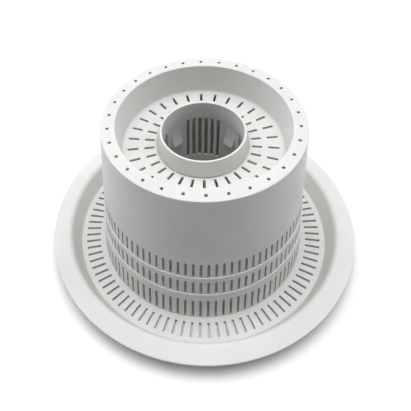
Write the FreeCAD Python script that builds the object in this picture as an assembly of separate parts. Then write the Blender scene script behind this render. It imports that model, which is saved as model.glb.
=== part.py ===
import FreeCAD, Part
import math
import os

# Dishwasher tank filter, moulded in one piece.
# Millimetres. The origin is the centre of the foot it stands on, and +Z points up through the neck.

# Heights above the foot
height = 120.0
row_1_top = 62.0
ledge_1_height = 48.3
row_2_top = 43.6
ledge_2_height = 30.4
row_3_top = 23.0
tube_end_height = 14.0

# Rises and drops from one feature to the next
recess_depth = 20.8
neck_rise = 12.2
brim_rise = 14.4
brim_fall = 3.4

# Outer form, from the rim's edge outwards: flares of the three tiers, ledges, base ring and brim
rim_outer_radius = 66.6
tier_1_flare = 5.3
tier_2_flare = 1.0
tier_3_flare = 1.9
ledge_step = 0.8
base_ring_width = 19.0
brim_slope_width = 6.0
brim_top_width = 13.6

# Rim and recess, from the rim's edge inwards
rim_width = 9.5
recess_draft = 3.1

# Neck, and the centre tube under it, whose bore is a small step wider
neck_bore_radius = 27.0
tube_bore_step = 0.4
tube_wall = 1.6

# Thicknesses
rim_thickness = 2.0
wall_at_rim = 2.0
wall_at_foot = 2.2
recess_wall = 1.8
recess_floor_thickness = 2.0
base_thickness = 3.2
brim_thickness = 2.4

# The brim's crest is softened by a bevel, measured along each of its two faces
brim_crest_bevel = 2.6

# Slots round the wall and the base ring
slot_count = 90
slot_width = 1.8
base_slot_inner_margin = 4.2
base_slot_outer_margin = 4.0

# Slots in the recess floor, in two rows with a web between them
spoke_count = 30
spoke_start_degrees = 8.0
recess_slot_inner_margin = 4.0
recess_slot_outer_margin = 3.4
recess_slot_web = 4.1
inner_row_part = 0.475

# Holes along the middle of the rim
rim_hole_width = 1.9
rim_hole_length = 2.0

# Windows in the centre tube, from just under the recess floor
window_group_count = 4
group_window_count = 6
window_pitch_degrees = 9.2
window_width = 2.7
window_length = 37.8

# Ramped lugs between the window groups, their tops a drop below the mouth of the neck
lug_width = 8.4
lug_height = 7.6
lug_reach = 3.0
lug_drop = 24.2

# How far a cutter runs past the face that it opens
overrun = 0.6

rim_underside = height - rim_thickness
recess_floor_top = height - recess_depth
recess_floor_underside = recess_floor_top - recess_floor_thickness
neck_top = recess_floor_top + neck_rise
brim_crest_height = base_thickness + brim_rise
brim_edge_height = brim_crest_height - brim_fall
ledge_1_radius = rim_outer_radius + tier_1_flare
ledge_2_radius = ledge_1_radius + ledge_step + tier_2_flare
wall_foot_radius = ledge_2_radius + ledge_step + tier_3_flare
base_ring_radius = wall_foot_radius + base_ring_width
brim_crest_radius = base_ring_radius + brim_slope_width
brim_outer_radius = brim_crest_radius + brim_top_width
rim_inner_radius = rim_outer_radius - rim_width
recess_floor_radius = rim_inner_radius - recess_draft
neck_outer_radius = neck_bore_radius + tube_wall
tube_bore_radius = neck_bore_radius + tube_bore_step
tube_outer_radius = tube_bore_radius + tube_wall
ORIGIN = FreeCAD.Vector(0, 0, 0)
UP = FreeCAD.Vector(0, 0, 1)
DOWN = FreeCAD.Vector(0, 0, -1)
OUTWARD = FreeCAD.Vector(1, 0, 0)


def point(radius, z, degrees=0.0):
    """The point at a radius and a height, turned round the axis from the plane of the section."""
    turn = math.radians(degrees)
    return FreeCAD.Vector(radius * math.cos(turn), radius * math.sin(turn), z)


def polygon(points):
    """The flat face inside a closed outline."""
    return Part.Face(Part.makePolygon(points + points[:1]))


def crossing(a, along_a, b, along_b):
    """The point where two lines of the section meet, each given by a point and a direction."""
    gap = b - a
    across = along_a.x * along_b.z - along_a.z * along_b.x
    return a + along_a * ((gap.x * along_b.z - gap.z * along_b.x) / across)


def staved(section, sides):
    """A closed form whose section goes round the axis in equal flats."""
    faces = []
    for i in range(sides):
        start = i * 360.0 / sides
        end = (i + 1) * 360.0 / sides
        for a, b in zip(section, section[1:] + section[:1]):
            faces.append(polygon([point(a.x, a.z, start), point(b.x, b.z, start),
                                  point(b.x, b.z, end), point(a.x, a.z, end)]))
    return Part.makeSolid(Part.makeShell(faces))


def outer_shell():
    """The tapered wall, the base ring at its foot, and the brim that climbs from the ring and falls away.

    Each tier of the wall stands a step out from the one above, which leaves a ledge, and its inside is
    one plain taper. The shell has one flat for each column of slots.
    """
    ring_edge = point(base_ring_radius, base_thickness)
    crest = point(brim_crest_radius, brim_crest_height)
    edge = point(brim_outer_radius, brim_edge_height)
    rise = (crest - ring_edge).normalize()
    fall = (edge - crest).normalize()
    # The brim's underside runs one thickness away from its slope and from its top
    under_slope = ring_edge + FreeCAD.Vector(rise.z, 0, -rise.x) * brim_thickness
    under_top = crest + FreeCAD.Vector(fall.z, 0, -fall.x) * brim_thickness
    section = [
        point(rim_outer_radius, height),
        point(ledge_1_radius, ledge_1_height),
        point(ledge_1_radius + ledge_step, ledge_1_height),
        point(ledge_2_radius, ledge_2_height),
        point(ledge_2_radius + ledge_step, ledge_2_height),
        point(wall_foot_radius, base_thickness),
        ring_edge,
        crest - rise * brim_crest_bevel,
        crest + fall * brim_crest_bevel,
        edge,
        crossing(edge, DOWN, under_top, fall),
        crossing(under_top, fall, under_slope, rise),
        crossing(under_slope, rise, ORIGIN, OUTWARD),
        point(wall_foot_radius - wall_at_foot, 0),
        point(rim_outer_radius - wall_at_rim, rim_underside),
        point(rim_outer_radius - wall_at_rim, height),
    ]
    return staved(section, slot_count)


def recess_and_tube():
    """The rim, the recess below it and the centre tube, whose neck stands up out of the recess floor."""
    seat = rim_outer_radius - wall_at_rim / 2
    section = polygon([
        point(tube_bore_radius, tube_end_height),
        point(tube_bore_radius, recess_floor_underside),
        point(neck_bore_radius, recess_floor_underside),
        point(neck_bore_radius, neck_top),
        point(neck_outer_radius, neck_top),
        point(neck_outer_radius, recess_floor_top),
        point(recess_floor_radius, recess_floor_top),
        point(rim_inner_radius, height),
        point(seat, height),
        point(seat, rim_underside),
        point(rim_inner_radius + recess_wall, rim_underside),
        point(recess_floor_radius + recess_wall, recess_floor_underside),
        point(tube_outer_radius, recess_floor_underside),
        point(tube_outer_radius, tube_end_height),
    ])
    return section.revolve(ORIGIN, UP, 360)


def around(shape, count, start_degrees):
    """Copies of a shape, evenly spaced round the axis. The first is turned to start_degrees."""
    copies = []
    for i in range(count):
        turned = shape.copy()
        turned.rotate(ORIGIN, UP, start_degrees + i * 360.0 / count)
        copies.append(turned)
    return copies


def block(inner, outer, width, bottom, top):
    """A radial block on the X axis with parallel sides, between two radii and two heights."""
    return Part.makeBox(outer - inner, width, top - bottom, FreeCAD.Vector(inner, -width / 2, bottom))


def wedge(inner, outer, width, bottom, top):
    """A block on the X axis whose sides point at the axis, with the width at its outer face."""
    half = math.degrees(width / outer) / 2
    corners = [point(inner, bottom, -half), point(outer, bottom, -half),
               point(outer, bottom, half), point(inner, bottom, half)]
    return polygon(corners).extrude(UP * (top - bottom))


def wall_slots():
    """Three rows of upright slots. Two rows stand on the ledges, and the lowest on the base ring."""
    rows = ((ledge_1_height, row_1_top), (ledge_2_height, row_2_top), (base_thickness, row_3_top))
    inner = rim_outer_radius - wall_at_rim - overrun
    cutters = []
    for bottom, top in rows:
        cutter = block(inner, wall_foot_radius + overrun, slot_width, bottom, top)
        cutters += around(cutter, slot_count, 180.0 / slot_count)
    return cutters


def base_slots():
    """Radial slots through the base ring, in line with the wall slots."""
    cutter = block(wall_foot_radius + base_slot_inner_margin, base_ring_radius - base_slot_outer_margin,
                   slot_width, -overrun, base_thickness + overrun)
    return around(cutter, slot_count, 180.0 / slot_count)


def recess_slots():
    """Two rows of radial slots that share the recess floor between the neck and the recess wall."""
    start = neck_outer_radius + recess_slot_inner_margin
    end = recess_floor_radius - recess_slot_outer_margin
    web_start = start + (end - start - recess_slot_web) * inner_row_part
    cutters = []
    for inner, outer in ((start, web_start), (web_start + recess_slot_web, end)):
        cutter = block(inner, outer, slot_width, recess_floor_underside - overrun,
                       recess_floor_top + overrun)
        cutters += around(cutter, spoke_count, spoke_start_degrees)
    return cutters


def rim_holes():
    """Small square holes through the middle of the rim, in line with the recess slots."""
    middle = rim_outer_radius - rim_width / 2
    cutter = block(middle - rim_hole_length / 2, middle + rim_hole_length / 2, rim_hole_width,
                   rim_underside - overrun, height + overrun)
    return around(cutter, spoke_count, spoke_start_degrees)


def tube_windows():
    """Tall windows in the centre tube, in groups with a plain stretch between them."""
    cutter = wedge(tube_bore_radius - overrun, tube_outer_radius + overrun, window_width,
                   recess_floor_underside - window_length, recess_floor_underside)
    cutters = []
    for i in range(group_window_count):
        offset = (i - (group_window_count - 1) / 2) * window_pitch_degrees
        cutters += around(cutter, window_group_count, offset)
    return cutters


def lugs():
    """Ramps that grow inwards as they go down the tube's bore, each ending in a flat catch."""
    seat = tube_bore_radius + tube_wall / 2
    top = neck_top - lug_drop
    bottom = top - lug_height
    side = polygon([
        point(seat, top),
        point(tube_bore_radius, top),
        point(tube_bore_radius - lug_reach, bottom),
        point(seat, bottom),
    ])
    side.translate(FreeCAD.Vector(0, -lug_width / 2, 0))
    ramp = side.extrude(FreeCAD.Vector(0, lug_width, 0))
    return around(ramp, window_group_count, 180.0 / window_group_count)


def filter_body():
    """The moulding with its lugs, and every slot, hole and window cut through it."""
    body = outer_shell().fuse([recess_and_tube()] + lugs())
    cutters = wall_slots() + base_slots() + recess_slots() + rim_holes() + tube_windows()
    return body.cut(cutters).removeSplitter()


os.makedirs("parts", exist_ok=True)
body = filter_body()
body.exportStep("parts/filter_body.step")
print("valid", body.isValid(), "solids", len(body.Solids), "volume cm3", round(body.Volume / 1000, 2))
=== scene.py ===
import math

import bmesh
import bpy
from mathutils import Matrix, Vector


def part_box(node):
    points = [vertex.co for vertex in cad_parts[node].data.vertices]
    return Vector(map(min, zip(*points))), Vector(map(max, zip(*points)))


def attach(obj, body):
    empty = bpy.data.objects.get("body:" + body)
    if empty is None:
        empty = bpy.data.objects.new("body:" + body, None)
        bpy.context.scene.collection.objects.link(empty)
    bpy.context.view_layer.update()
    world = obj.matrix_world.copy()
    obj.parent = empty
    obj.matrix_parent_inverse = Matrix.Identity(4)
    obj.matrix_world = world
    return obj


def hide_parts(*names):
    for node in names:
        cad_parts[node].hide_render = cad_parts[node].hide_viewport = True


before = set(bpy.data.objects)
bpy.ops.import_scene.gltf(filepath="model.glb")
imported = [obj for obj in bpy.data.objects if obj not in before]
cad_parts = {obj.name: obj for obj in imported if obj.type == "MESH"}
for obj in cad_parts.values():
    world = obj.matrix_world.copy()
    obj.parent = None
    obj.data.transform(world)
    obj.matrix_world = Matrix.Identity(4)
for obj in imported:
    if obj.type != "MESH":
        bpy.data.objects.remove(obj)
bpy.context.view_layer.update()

# The filter in metres, standing on the floor at z = 0 with its axis on Z.
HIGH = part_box("filter_body")[1]

# Thicknesses, and rises and drops from one feature to the next
RIM_THICKNESS = 0.0020
RECESS_WALL = 0.0018
RECESS_FLOOR_THICKNESS = 0.0020
BRIM_THICKNESS = 0.0024
RECESS_DEPTH = 0.0208
NECK_RISE = 0.0122
WINDOW_LENGTH = 0.0378
LUG_DROP = 0.0328
LUG_HEIGHT = 0.0076

# Heights
HEIGHT = HIGH[2]
RIM_UNDERSIDE = HEIGHT - RIM_THICKNESS
RECESS_FLOOR = HEIGHT - RECESS_DEPTH
RECESS_UNDERSIDE = RECESS_FLOOR - RECESS_FLOOR_THICKNESS
NECK_TOP = RECESS_FLOOR + NECK_RISE
WINDOW_BOTTOM = RECESS_UNDERSIDE - WINDOW_LENGTH
LUG_TOP = HEIGHT - LUG_DROP
LUG_BOTTOM = LUG_TOP - LUG_HEIGHT
TUBE_END = 0.0140
ROW_TOPS = (0.0620, 0.0436, 0.0230)
LEDGE_1 = 0.0483
LEDGE_2 = 0.0304
BASE_TOP = 0.0032
CREST_TOP = 0.0176
EDGE_TOP = 0.0142
EDGE_BOTTOM = 0.0117

# Radii
BRIM_OUTER = HIGH[1]
CREST = 0.1014
BASE_RING = 0.0954
BASE_SLOTS = (0.0806, 0.0914)
WALL_FOOT = 0.0764
WALL_FOOT_INSIDE = 0.0742
TIER_1_FOOT = 0.0719
TIER_2_TOP = 0.0727
TIER_2_FOOT = 0.0737
TIER_3_TOP = 0.0745
RIM_OUTER = 0.0666
RIM_UNDER_OUTER = 0.0646
RIM_INNER = 0.0571
RECESS_FOOT = 0.0540
RIM_HOLES = (0.06085, 0.06285)
RECESS_SLOTS = ((0.0326, 0.0392), (0.0433, 0.0506))
NECK_OUTER = 0.0286
NECK_BORE = 0.0270
TUBE_OUTER = 0.0290
BORE = 0.0274

# The circles where the three sets of columns are joined, all on flat faces
RIM_SEAM_TOP = 0.0650
RIM_SEAM_UNDER = 0.0638
NECK_SEAM = 0.0310

# Patterns
SLOT_HALF = 0.0009
RIM_HOLE_HALF = 0.00095
WALL_CELLS = 90
RECESS_CELLS = 30
RECESS_START = math.radians(8)
WINDOW_GROUPS = 4
WINDOWS = 6
WINDOW_PITCH = math.radians(9.2)
WINDOW_HALF = math.radians(2.65)

# Lugs in the tube
LUG_REACH = 0.0030
LUG_HALF = 0.0042
LUG_EDGE = 0.0003

# Rounds
SLOT_EDGE_ROUND = 0.00018
SLOT_EDGE_ANGLE = math.radians(40)
ARC_STEP = math.radians(15)

# Plastic: its shade from cloud to cloud, and the range of its roughness
PLASTIC_SHADES = ((0.575, 0.575, 0.555, 1), (0.615, 0.613, 0.592, 1))
PLASTIC_ROUGHNESS = (0.40, 0.52)

# Floor: its size, and its shade for scattered light and as seen directly
FLOOR_SIZE = 6.0
FLOOR_SHADES = ((0.30, 0.30, 0.30, 1), (0.80, 0.80, 0.80, 1))

# Light: panels of the tent, each with its axis, the cosine where it begins and its strength, and a lamp overhead
TENT_PANELS = (
    ((0, 0, 1), 0.75, 3.6),
    ((1, 0.35, 0.35), 0.60, 1.8),
    ((-1, 0.35, 0.35), 0.60, 2.2),
)
TENT_COLOUR = (0.97, 0.98, 1.0, 1)
LAMP_PLACE = (0.0, 0.25, 1.40)
LAMP_TARGET = (0, 0, 0.06)
LAMP_SIZE = 0.8
LAMP_POWER = 4.5

# Camera, fitted to the photo: its turns about its own axes in degrees, and the picture's shift
CAMERA_PLACE = (0, -0.2547, 0.35755)
CAMERA_TURN = 5.92
CAMERA_DOWN = 46.04
CAMERA_ROLL = -3.47
CAMERA_LENS = 47.31
CAMERA_SHIFT = (0.101, -0.135)


def rounded(corners):
    """The section through (name, radius, height, round) corners: its points, and the row of each name.

    A corner with a round becomes an arc. A name gives the row of a corner without one.
    """
    points = []
    rows = {}
    for i, (name, r, z, radius) in enumerate(corners):
        here = Vector((r, z))
        if radius == 0:
            if name:
                rows[name] = len(points)
            points.append(here)
            continue
        back = (Vector(corners[i - 1][1:3]) - here).normalized()
        ahead = (Vector(corners[i + 1][1:3]) - here).normalized()
        half = back.angle(ahead) / 2
        centre = here + (back + ahead).normalized() * (radius / math.sin(half))
        start = here + back * (radius / math.tan(half)) - centre
        turn = math.pi - 2 * half
        if start.x * ahead.y - start.y * ahead.x < 0:
            turn = -turn
        steps = max(2, math.ceil(abs(turn) / ARC_STEP))
        for step in range(steps + 1):
            points.append(centre + Matrix.Rotation(turn * step / steps, 2) @ start)
    return points, rows


def on_wall(top, bottom, z):
    """The radius at a height on the straight wall between two (radius, height) points."""
    return top[0] + (bottom[0] - top[0]) * (z - top[1]) / (bottom[1] - top[1])


def cell_columns(cells, start, half_width, fractions):
    """Columns with a slot of constant width in each cell, and steps between the slots.

    Gives a function from a radius to the columns' angles, how many columns a cell has, and the place in
    the cell of the slot's first edge.
    """
    half_cell = math.pi / cells
    sides = [(-1, f) for f in reversed(fractions)] + [(1, f) for f in fractions[:-1]]

    def angles(r):
        edge = math.asin(half_width(r) / r)
        return [start + 2 * half_cell * k + side * (edge + f * (half_cell - edge))
                for k in range(cells) for side, f in sides]
    return angles, len(sides), len(fractions) - 1


def tube_columns():
    """Angles of the tube's columns, and the columns of the windows and of the lugs."""
    angles = []
    windows = []
    lugs = []
    edge = LUG_EDGE / BORE
    lug = math.asin(LUG_HALF / BORE)
    for group in range(WINDOW_GROUPS):
        middle = group * 2 * math.pi / WINDOW_GROUPS
        for i in range(WINDOWS):
            centre = middle + (i - (WINDOWS - 1) / 2) * WINDOW_PITCH
            windows.append(len(angles))
            angles += [centre - WINDOW_HALF, centre, centre + WINDOW_HALF]
            if i < WINDOWS - 1:
                angles.append(centre + WINDOW_PITCH / 2)
        end = angles[-1]
        diagonal = middle + math.pi / WINDOW_GROUPS
        gap = diagonal - lug - edge - end
        angles += [end + gap / 3, end + 2 * gap / 3, end + gap]
        lugs.append(len(angles))
        angles += [diagonal + lug * f for f in (-1, -0.5, 0, 0.5, 1)]
        angles += [diagonal + lug + edge, diagonal + lug + edge + gap / 3, diagonal + lug + edge + 2 * gap / 3]
    return angles, windows, lugs


class Skin:
    """A grid of points round the axis: a row for each point of a section, a column for each angle."""

    def __init__(self, bm, corners, angles):
        points, self.names = rounded(corners)
        self.bm = bm
        self.angles = [angles(r) for r, _ in points]
        self.rows = [[bm.verts.new((r * math.cos(a), r * math.sin(a), z)) for a in ring]
                     for (r, z), ring in zip(points, self.angles)]
        self.open = set()

    def span(self, start, end):
        """The rows between two named ones, in the order asked for."""
        a, b = self.names[start], self.names[end]
        return list(range(a, b + 1)) if a < b else list(range(a, b - 1, -1))

    def ring(self, row):
        """One row's points with their angles, in order of angle."""
        whole = 2 * math.pi
        return sorted(((a % whole, v) for a, v in zip(self.angles[row], self.rows[row])), key=lambda p: p[0])

    def cut(self, rows, columns):
        """Leaves the faces between these rows and columns out, and returns the points round the gap."""
        for a, b in zip(rows, rows[1:]):
            for c in columns[:-1]:
                self.open.add((min(a, b), c))
        grid = self.rows
        first = [grid[rows[0]][c] for c in columns]
        down = [grid[r][columns[-1]] for r in rows[1:-1]]
        last = [grid[rows[-1]][c] for c in reversed(columns)]
        up = [grid[r][columns[0]] for r in reversed(rows[1:-1])]
        return first + down + last + up

    def fill(self):
        """Faces between all rows and columns that no opening has taken."""
        for i, (upper, lower) in enumerate(zip(self.rows, self.rows[1:])):
            for c in range(len(upper)):
                if (i, c) not in self.open:
                    d = (c + 1) % len(upper)
                    self.bm.faces.new((upper[c], upper[d], lower[d], lower[c]))


def tunnel(bm, near, far):
    """The walls of an opening, between the points round its two mouths."""
    for i in range(len(near)):
        j = (i + 1) % len(near)
        bm.faces.new((near[i], near[j], far[j], far[i]))


def zip_rings(bm, a, b):
    """A flat strip of triangles between two rings with different columns."""
    whole = 2 * math.pi
    i = j = 0
    while i < len(a) or j < len(b):
        next_a = a[(i + 1) % len(a)][0] + whole * ((i + 1) // len(a)) if i < len(a) else math.inf
        next_b = b[(j + 1) % len(b)][0] + whole * ((j + 1) // len(b)) if j < len(b) else math.inf
        here_a = a[i % len(a)][1]
        here_b = b[j % len(b)][1]
        if next_a <= next_b:
            i += 1
            bm.faces.new((here_a, a[i % len(a)][1], here_b))
        else:
            j += 1
            bm.faces.new((here_a, b[j % len(b)][1], here_b))


def wall_skin(bm):
    """The rim's edge, the stepped outer wall, the base ring, the brim and back up the wall's inside."""
    angles, width, edge = cell_columns(WALL_CELLS, math.pi / WALL_CELLS, lambda r: SLOT_HALF, (0, 0.5, 1))
    tier_1 = ((RIM_OUTER, HEIGHT), (TIER_1_FOOT, LEDGE_1))
    tier_2 = ((TIER_2_TOP, LEDGE_1), (TIER_2_FOOT, LEDGE_2))
    tier_3 = ((TIER_3_TOP, LEDGE_2), (WALL_FOOT, BASE_TOP))
    inside = ((RIM_UNDER_OUTER, RIM_UNDERSIDE), (WALL_FOOT_INSIDE, 0.0))
    rise = Vector((CREST - BASE_RING, CREST_TOP - BASE_TOP)).normalized()
    under = Vector((BASE_RING, BASE_TOP)) + Vector((rise.y, -rise.x)) * BRIM_THICKNESS
    fall = (EDGE_TOP - CREST_TOP) / (BRIM_OUTER - CREST)
    slope = rise.y / rise.x
    under_crest = (EDGE_BOTTOM - fall * BRIM_OUTER - under.y + slope * under.x) / (slope - fall)
    under_foot = under.x - under.y / slope
    top_1, top_2, top_3 = ROW_TOPS
    corners = [
        ("seam", RIM_SEAM_TOP, HEIGHT, 0),
        ("", RIM_OUTER, HEIGHT, 0.0006),
        ("1t", on_wall(*tier_1, top_1), top_1, 0),
        ("1b", TIER_1_FOOT, LEDGE_1, 0),
        ("", TIER_2_TOP, LEDGE_1, 0.0003),
        ("2t", on_wall(*tier_2, top_2), top_2, 0),
        ("2b", TIER_2_FOOT, LEDGE_2, 0),
        ("", TIER_3_TOP, LEDGE_2, 0.0003),
        ("3t", on_wall(*tier_3, top_3), top_3, 0),
        ("3b", WALL_FOOT, BASE_TOP, 0),
        ("base_in", BASE_SLOTS[0], BASE_TOP, 0),
        ("base_out", BASE_SLOTS[1], BASE_TOP, 0),
        ("", BASE_RING, BASE_TOP, 0.0008),
        ("", CREST, CREST_TOP, 0.0040),
        ("", BRIM_OUTER, EDGE_TOP, 0.0005),
        ("", BRIM_OUTER, EDGE_BOTTOM, 0.0005),
        ("", under_crest, EDGE_BOTTOM + fall * (under_crest - BRIM_OUTER), 0.0018),
        ("", under_foot, 0.0, 0.0005),
        ("under_out", BASE_SLOTS[1], 0.0, 0),
        ("under_in", BASE_SLOTS[0], 0.0, 0),
        ("", WALL_FOOT_INSIDE, 0.0, 0.0004),
        ("i3b", on_wall(*inside, BASE_TOP), BASE_TOP, 0),
        ("i3t", on_wall(*inside, top_3), top_3, 0),
        ("i2b", on_wall(*inside, LEDGE_2), LEDGE_2, 0),
        ("i2t", on_wall(*inside, top_2), top_2, 0),
        ("i1b", on_wall(*inside, LEDGE_1), LEDGE_1, 0),
        ("i1t", on_wall(*inside, top_1), top_1, 0),
        ("", RIM_UNDER_OUTER, RIM_UNDERSIDE, 0.0004),
        ("seam_under", RIM_SEAM_UNDER, RIM_UNDERSIDE, 0),
    ]
    skin = Skin(bm, corners, angles)
    for k in range(WALL_CELLS):
        columns = [k * width + edge, k * width + edge + 1]
        for row in "123":
            tunnel(bm, skin.cut(skin.span(row + "t", row + "b"), columns),
                   skin.cut(skin.span("i" + row + "t", "i" + row + "b"), columns))
        tunnel(bm, skin.cut(skin.span("base_in", "base_out"), columns),
               skin.cut(skin.span("under_in", "under_out"), columns))
    skin.fill()
    return skin


def recess_skins(bm):
    """The top of the rim, recess wall and recess floor, and the same three from below."""
    angles, width, edge = cell_columns(
        RECESS_CELLS, RECESS_START,
        lambda r: RIM_HOLE_HALF if r > RIM_INNER else SLOT_HALF, (0, 0.25, 0.5, 0.75, 1))
    (inner_in, inner_out), (outer_in, outer_out) = RECESS_SLOTS
    floor = [("outer_out", outer_out), ("outer_in", outer_in), ("inner_out", inner_out), ("inner_in", inner_in)]
    top = Skin(bm, [
        ("seam", RIM_SEAM_TOP, HEIGHT, 0),
        ("hole_out", RIM_HOLES[1], HEIGHT, 0),
        ("hole_in", RIM_HOLES[0], HEIGHT, 0),
        ("", RIM_INNER, HEIGHT, 0.0006),
        ("", RECESS_FOOT, RECESS_FLOOR, 0.0018),
    ] + [(name, r, RECESS_FLOOR, 0) for name, r in floor] + [("neck", NECK_SEAM, RECESS_FLOOR, 0)], angles)
    under = Skin(bm, [
        ("seam", RIM_SEAM_UNDER, RIM_UNDERSIDE, 0),
        ("hole_out", RIM_HOLES[1], RIM_UNDERSIDE, 0),
        ("hole_in", RIM_HOLES[0], RIM_UNDERSIDE, 0),
        ("", RIM_INNER + RECESS_WALL, RIM_UNDERSIDE, 0.0004),
        ("", RECESS_FOOT + RECESS_WALL, RECESS_UNDERSIDE, 0.0006),
    ] + [(name, r, RECESS_UNDERSIDE, 0) for name, r in floor] + [("neck", NECK_SEAM, RECESS_UNDERSIDE, 0)],
        angles)
    for k in range(RECESS_CELLS):
        columns = [k * width + edge, k * width + edge + 1]
        for outer, inner in (("hole_out", "hole_in"), ("outer_out", "outer_in"), ("inner_out", "inner_in")):
            tunnel(bm, top.cut(top.span(outer, inner), columns), under.cut(under.span(outer, inner), columns))
    top.fill()
    under.fill()
    return top, under


def tube_skin(bm):
    """The neck, its bore with the lugs, and the tube's outside up to the recess floor's underside."""
    angles, windows, lugs = tube_columns()
    skin = Skin(bm, [
        ("seam", NECK_SEAM, RECESS_FLOOR, 0),
        ("", NECK_OUTER, RECESS_FLOOR, 0.0013),
        ("", NECK_OUTER, NECK_TOP, 0.0005),
        ("", NECK_BORE, NECK_TOP, 0.0005),
        ("", NECK_BORE, RECESS_UNDERSIDE, 0),
        ("top", BORE, RECESS_UNDERSIDE, 0),
        ("lug_top", BORE, LUG_TOP, 0),
        ("lug_foot", BORE, LUG_BOTTOM, 0),
        ("lug_under", BORE, LUG_BOTTOM - LUG_EDGE, 0),
        ("bottom", BORE, WINDOW_BOTTOM, 0),
        ("", BORE, TUBE_END, 0.0004),
        ("", TUBE_OUTER, TUBE_END, 0.0004),
        ("o_bottom", TUBE_OUTER, WINDOW_BOTTOM, 0),
        ("", TUBE_OUTER, LUG_BOTTOM - LUG_EDGE, 0),
        ("", TUBE_OUTER, LUG_BOTTOM, 0),
        ("", TUBE_OUTER, LUG_TOP, 0),
        ("o_top", TUBE_OUTER, RECESS_UNDERSIDE, 0),
        ("seam_under", NECK_SEAM, RECESS_UNDERSIDE, 0),
    ], lambda r: angles)
    for column in windows:
        columns = [column, column + 1, column + 2]
        tunnel(bm, skin.cut(skin.span("top", "bottom"), columns), skin.cut(skin.span("o_top", "o_bottom"), columns))
    foot = skin.rows[skin.names["lug_foot"]]
    for column in lugs:
        middle = angles[column + 2]
        for c in range(column, column + 5):
            flat = (BORE - LUG_REACH) / math.cos(angles[c] - middle)
            foot[c].co.x = flat * math.cos(angles[c])
            foot[c].co.y = flat * math.sin(angles[c])
    skin.fill()
    return skin


def moulding():
    """The whole filter as one closed mesh, with every edge of its slots softened."""
    bm = bmesh.new()
    wall = wall_skin(bm)
    top, under = recess_skins(bm)
    tube = tube_skin(bm)
    zip_rings(bm, wall.ring(wall.names["seam"]), top.ring(top.names["seam"]))
    zip_rings(bm, wall.ring(wall.names["seam_under"]), under.ring(under.names["seam"]))
    zip_rings(bm, top.ring(top.names["neck"]), tube.ring(tube.names["seam"]))
    zip_rings(bm, under.ring(under.names["neck"]), tube.ring(tube.names["seam_under"]))
    bmesh.ops.recalc_face_normals(bm, faces=bm.faces)
    for face in bm.faces:
        face.smooth = True
    mesh = bpy.data.meshes.new("filter_moulding")
    bm.to_mesh(mesh)
    bm.free()
    piece = bpy.data.objects.new("filter_moulding", mesh)
    bpy.context.scene.collection.objects.link(piece)
    bevel = piece.modifiers.new("edges", "BEVEL")
    bevel.width = SLOT_EDGE_ROUND
    bevel.segments = 2
    bevel.limit_method = "ANGLE"
    bevel.angle_limit = SLOT_EDGE_ANGLE
    bevel.harden_normals = True
    shaped = bpy.data.meshes.new_from_object(piece.evaluated_get(bpy.context.evaluated_depsgraph_get()))
    piece.modifiers.clear()
    piece.data = shaped
    return piece


def noise(nodes, links, coordinates, scale, detail):
    """A noise texture on the object's own coordinates."""
    node = nodes.new("ShaderNodeTexNoise")
    node.inputs["Scale"].default_value = scale
    node.inputs["Detail"].default_value = detail
    links.new(coordinates, node.inputs["Vector"])
    return node.outputs["Fac"]


def ramp(nodes, links, value, low, high):
    """The middle part of a noise's range carried to the range from low to high."""
    node = nodes.new("ShaderNodeMapRange")
    node.inputs["From Min"].default_value = 0.3
    node.inputs["From Max"].default_value = 0.7
    node.inputs["To Min"].default_value = low
    node.inputs["To Max"].default_value = high
    links.new(value, node.inputs["Value"])
    return node.outputs["Result"]


def plastic():
    """Pale grey moulded plastic: faint cloudy shade, fine grain and a soft, uneven gloss."""
    material = bpy.data.materials.new("pale_grey_plastic")
    material.use_nodes = True
    nodes = material.node_tree.nodes
    links = material.node_tree.links
    shader = nodes["Principled BSDF"]
    coordinates = nodes.new("ShaderNodeTexCoord").outputs["Object"]

    cloud = noise(nodes, links, coordinates, scale=28.0, detail=3.0)
    shade = nodes.new("ShaderNodeMix")
    shade.data_type = "RGBA"
    shade.inputs["A"].default_value, shade.inputs["B"].default_value = PLASTIC_SHADES
    links.new(ramp(nodes, links, cloud, low=0.0, high=1.0), shade.inputs["Factor"])
    links.new(shade.outputs["Result"], shader.inputs["Base Color"])

    grain = noise(nodes, links, coordinates, scale=2600.0, detail=2.0)
    waves = noise(nodes, links, coordinates, scale=60.0, detail=1.0)
    links.new(ramp(nodes, links, waves, *PLASTIC_ROUGHNESS), shader.inputs["Roughness"])
    fine = nodes.new("ShaderNodeBump")
    fine.inputs["Strength"].default_value = 0.12
    fine.inputs["Distance"].default_value = 0.0001
    links.new(grain, fine.inputs["Height"])
    broad = nodes.new("ShaderNodeBump")
    broad.inputs["Strength"].default_value = 0.10
    broad.inputs["Distance"].default_value = 0.0008
    links.new(waves, broad.inputs["Height"])
    links.new(fine.outputs["Normal"], broad.inputs["Normal"])
    links.new(broad.outputs["Normal"], shader.inputs["Normal"])

    shader.inputs["Specular IOR Level"].default_value = 0.4
    shader.inputs["Subsurface Weight"].default_value = 0.25
    shader.inputs["Subsurface Radius"].default_value = (1.0, 0.9, 0.8)
    shader.inputs["Subsurface Scale"].default_value = 0.0025
    return material


def overhead_lamp():
    """A square soft light above and behind, turned to face the filter."""
    data = bpy.data.lights.new("overhead", "AREA")
    data.size = LAMP_SIZE
    data.energy = LAMP_POWER
    lamp = bpy.data.objects.new("overhead", data)
    lamp.location = LAMP_PLACE
    lamp.rotation_euler = (Vector(LAMP_TARGET) - Vector(LAMP_PLACE)).to_track_quat("-Z", "Y").to_euler()
    bpy.context.scene.collection.objects.link(lamp)


def add(nodes, links, a, b):
    """The sum of two values."""
    node = nodes.new("ShaderNodeMath")
    links.new(a, node.inputs[0])
    links.new(b, node.inputs[1])
    return node.outputs["Value"]


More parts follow.
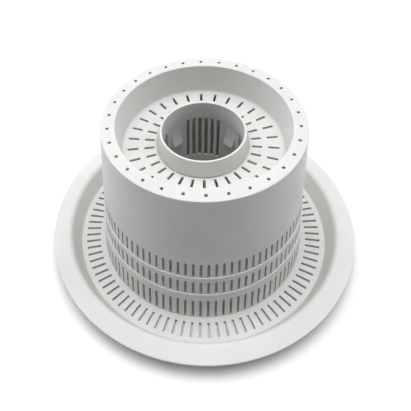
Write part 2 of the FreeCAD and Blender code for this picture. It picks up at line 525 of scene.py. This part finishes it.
def seen_directly(nodes, links):
    """One for rays from the camera, from reflections and through clear pieces, and zero for scattered light."""
    rays = nodes.new("ShaderNodeLightPath")
    seen = add(nodes, links, rays.outputs["Is Camera Ray"], rays.outputs["Is Glossy Ray"])
    return add(nodes, links, seen, rays.outputs["Is Transmission Ray"])


def surroundings():
    """A light tent with a panel above and one at each side. The camera and reflections see plain white."""
    world = bpy.data.worlds.new("tent")
    bpy.context.scene.world = world
    world.use_nodes = True
    nodes = world.node_tree.nodes
    links = world.node_tree.links
    tent = nodes["Background"]
    direction = nodes.new("ShaderNodeTexCoord").outputs["Generated"]
    strength = None
    for axis, start, power in TENT_PANELS:
        along = nodes.new("ShaderNodeVectorMath")
        along.operation = "DOT_PRODUCT"
        along.inputs[1].default_value = Vector(axis).normalized()
        links.new(direction, along.inputs[0])
        panel = nodes.new("ShaderNodeMapRange")
        panel.interpolation_type = "SMOOTHSTEP"
        panel.inputs["From Min"].default_value = start
        panel.inputs["To Max"].default_value = power
        links.new(along.outputs["Value"], panel.inputs["Value"])
        strength = add(nodes, links, strength, panel.outputs["Result"]) if strength else panel.outputs["Result"]
    links.new(strength, tent.inputs["Strength"])
    tent.inputs["Color"].default_value = TENT_COLOUR
    white = nodes.new("ShaderNodeBackground")
    white.inputs["Color"].default_value = (1, 1, 1, 1)
    mix = nodes.new("ShaderNodeMixShader")
    links.new(seen_directly(nodes, links), mix.inputs["Fac"])
    links.new(tent.outputs["Background"], mix.inputs[1])
    links.new(white.outputs["Background"], mix.inputs[2])
    links.new(mix.outputs["Shader"], nodes["World Output"].inputs["Surface"])


def floor():
    """A wide white floor that takes the filter's shadow."""
    bpy.ops.mesh.primitive_plane_add(size=FLOOR_SIZE, location=(0, 0, 0))
    plane = bpy.context.object
    plane.name = "floor"
    material = bpy.data.materials.new("white_floor")
    material.use_nodes = True
    nodes = material.node_tree.nodes
    links = material.node_tree.links
    shader = nodes["Principled BSDF"]
    shade = nodes.new("ShaderNodeMix")
    shade.data_type = "RGBA"
    shade.inputs["A"].default_value, shade.inputs["B"].default_value = FLOOR_SHADES
    links.new(seen_directly(nodes, links), shade.inputs["Factor"])
    links.new(shade.outputs["Result"], shader.inputs["Base Color"])
    shader.inputs["Roughness"].default_value = 0.9
    shader.inputs["Specular IOR Level"].default_value = 0.0
    plane.data.materials.append(material)


def camera():
    """The photo's view, from the front and above."""
    turn = Matrix.Rotation(math.radians(CAMERA_TURN), 4, "Z")
    tilt = Matrix.Rotation(math.radians(90 - CAMERA_DOWN), 4, "X")
    roll = Matrix.Rotation(math.radians(CAMERA_ROLL), 4, "Z")
    data = bpy.data.cameras.new("camera")
    data.sensor_width = 36
    data.lens = CAMERA_LENS
    data.shift_x, data.shift_y = CAMERA_SHIFT
    data.clip_start = 0.01
    viewer = bpy.data.objects.new("camera", data)
    viewer.matrix_world = Matrix.Translation(CAMERA_PLACE) @ turn @ tilt @ roll
    bpy.context.scene.collection.objects.link(viewer)
    bpy.context.scene.camera = viewer


piece = moulding()
piece.data.materials.clear()
piece.data.materials.append(plastic())
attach(piece, "root")
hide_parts("filter_body")

floor()
surroundings()
overhead_lamp()
camera()
bpy.context.scene.view_settings.view_transform = "Standard"
